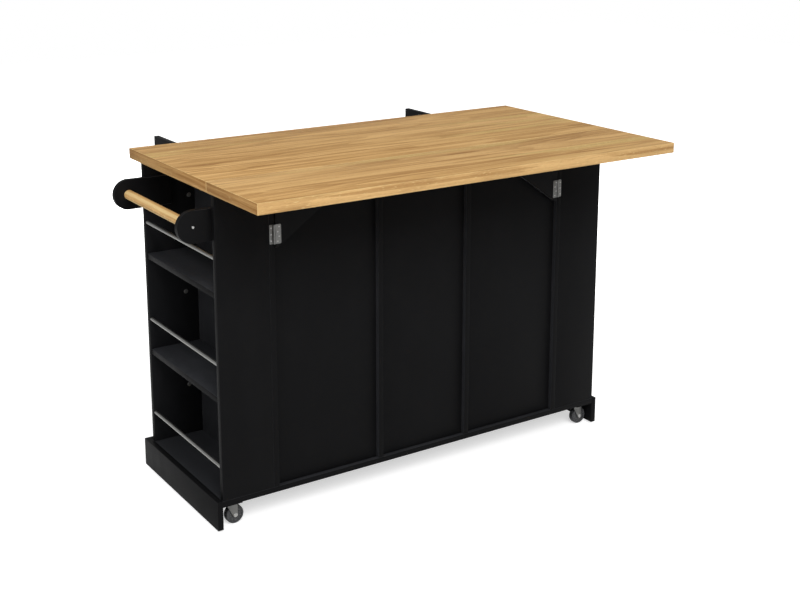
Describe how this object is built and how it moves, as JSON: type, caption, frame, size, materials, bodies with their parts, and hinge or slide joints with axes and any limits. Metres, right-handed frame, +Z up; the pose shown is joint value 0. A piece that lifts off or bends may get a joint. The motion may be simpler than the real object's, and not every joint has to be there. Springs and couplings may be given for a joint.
{
  "type": "drop leaf kitchen island",
  "caption": "Kitchen island on casters with a hinged drop leaf on swing-out wings, cupboards, drawers, open end racks and a towel bar.",
  "frame": {"origin": "on the floor, under the centre of the whole island's bounding box with both doors open at a right angle and the leaf level", "axes": "+X along the worktop towards the towel bar, +Y from the doors towards the leaf, +Z up"},
  "size_m": [1.349, 1.0288, 0.92],
  "materials": {
    "black_board": "satin black melamine",
    "oak_top": "satin oak grain",
    "oak_bar": "satin oak grain",
    "steel": "satin",
    "zinc": "zinc plated",
    "grey_tyre": "smooth grey"
  },
  "bodies": {
    "cabinet": {"bottom_board": "black_board", "outer_partition_left": "black_board", "inner_partition_left": "black_board", "back_stile_left": "black_board", "front_stile_left": "black_board", "back_panel_left": "black_board", "rack_shelf_left_lower": "black_board", "rack_shelf_left_upper": "black_board", "rack_rail_left_1": "steel", "rack_rail_left_2": "steel", "rack_rail_left_3": "steel", "cupboard_shelf_left": "black_board", "plinth_left": "black_board", "outer_partition_right": "black_board", "inner_partition_right": "black_board", "back_stile_right": "black_board", "front_stile_right": "black_board", "back_panel_right": "black_board", "rack_shelf_right_lower": "black_board", "rack_shelf_right_upper": "black_board", "rack_rail_right_1": "steel", "rack_rail_right_2": "steel", "rack_rail_right_3": "steel", "cupboard_shelf_right": "black_board", "plinth_right": "black_board", "back_panel_center": "black_board", "plinth_front": "black_board", "worktop": "oak_top", "towel_bracket_back": "black_board", "towel_bracket_front": "black_board", "towel_bar": "oak_bar"},
    "leaf": {"drop_leaf": "oak_top", "leaf_hinge_1": "steel", "leaf_hinge_2": "steel", "leaf_hinge_3": "steel"},
    "wing_left_arm": {"wing_left": "black_board"},
    "wing_right_arm": {"wing_right": "black_board"},
    "door_left_leaf": {"door_left": "black_board", "door_pull_left": "steel"},
    "door_right_leaf": {"door_right": "black_board", "door_pull_right": "steel"},
    "drawer_1": {"drawer_front_1": "black_board", "drawer_box_1": "black_board", "drawer_pull_1": "steel"},
    "drawer_2": {"drawer_front_2": "black_board", "drawer_box_2": "black_board", "drawer_pull_2": "steel"},
    "drawer_3": {"drawer_front_3": "black_board", "drawer_box_3": "black_board", "drawer_pull_3": "steel"},
    "swivel_front_left": {"caster_fork_front_left": "zinc"},
    "wheel_front_left": {"caster_wheel_front_left": "grey_tyre"},
    "swivel_back_left": {"caster_fork_back_left": "zinc"},
    "wheel_back_left": {"caster_wheel_back_left": "grey_tyre"},
    "swivel_front_right": {"caster_fork_front_right": "zinc"},
    "wheel_front_right": {"caster_wheel_front_right": "grey_tyre"},
    "swivel_back_right": {"caster_fork_back_right": "zinc"},
    "wheel_back_right": {"caster_wheel_back_right": "grey_tyre"}
  },
  "joints": [
    {"name": "leaf_drop", "type": "hinge", "parent": "cabinet", "child": "leaf", "pos_m": [-0.0345, 0.2484, 0.89], "axis": [1, 0, 0], "range_deg": [-90, 0]},
    {"name": "wing_left_swing", "type": "hinge", "parent": "cabinet", "child": "wing_left_arm", "pos_m": [-0.4931, 0.2457, 0.812], "axis": [0, 0, 1], "range_deg": [0, 90]},
    {"name": "wing_right_swing", "type": "hinge", "parent": "cabinet", "child": "wing_right_arm", "pos_m": [0.4241, 0.2457, 0.812], "axis": [0, 0, -1], "range_deg": [0, 90]},
    {"name": "door_left_swing", "type": "hinge", "parent": "cabinet", "child": "door_left_leaf", "pos_m": [-0.49, -0.2129, 0.4875], "axis": [0, 0, -1], "range_deg": [-90, 20]},
    {"name": "door_right_swing", "type": "hinge", "parent": "cabinet", "child": "door_right_leaf", "pos_m": [0.421, -0.2129, 0.4875], "axis": [0, 0, 1], "range_deg": [-90, 20]},
    {"name": "drawer_1_slide", "type": "slide", "parent": "cabinet", "child": "drawer_1", "axis": [0, -1, 0], "range_m": [0, 0.33]},
    {"name": "drawer_2_slide", "type": "slide", "parent": "cabinet", "child": "drawer_2", "axis": [0, -1, 0], "range_m": [0, 0.33]},
    {"name": "drawer_3_slide", "type": "slide", "parent": "cabinet", "child": "drawer_3", "axis": [0, -1, 0], "range_m": [0, 0.33]},
    {"name": "swivel_front_left_turn", "type": "hinge", "parent": "cabinet", "child": "swivel_front_left", "pos_m": [-0.6175, -0.1756, 0.057], "axis": [0, 0, 1], "continuous": true},
    {"name": "wheel_front_left_spin", "type": "hinge", "parent": "swivel_front_left", "child": "wheel_front_left", "pos_m": [-0.6255, -0.1756, 0.025], "axis": [0, 1, 0], "continuous": true},
    {"name": "swivel_back_left_turn", "type": "hinge", "parent": "cabinet", "child": "swivel_back_left", "pos_m": [-0.6175, 0.2084, 0.057], "axis": [0, 0, 1], "continuous": true},
    {"name": "wheel_back_left_spin", "type": "hinge", "parent": "swivel_back_left", "child": "wheel_back_left", "pos_m": [-0.6255, 0.2084, 0.025], "axis": [0, 1, 0], "continuous": true},
    {"name": "swivel_front_right_turn", "type": "hinge", "parent": "cabinet", "child": "swivel_front_right", "pos_m": [0.5485, -0.1756, 0.057], "axis": [0, 0, 1], "continuous": true},
    {"name": "wheel_front_right_spin", "type": "hinge", "parent": "swivel_front_right", "child": "wheel_front_right", "pos_m": [0.5405, -0.1756, 0.025], "axis": [0, 1, 0], "continuous": true},
    {"name": "swivel_back_right_turn", "type": "hinge", "parent": "cabinet", "child": "swivel_back_right", "pos_m": [0.5485, 0.2084, 0.057], "axis": [0, 0, 1], "continuous": true},
    {"name": "wheel_back_right_spin", "type": "hinge", "parent": "swivel_back_right", "child": "wheel_back_right", "pos_m": [0.5405, 0.2084, 0.025], "axis": [0, 1, 0], "continuous": true}
  ]
}
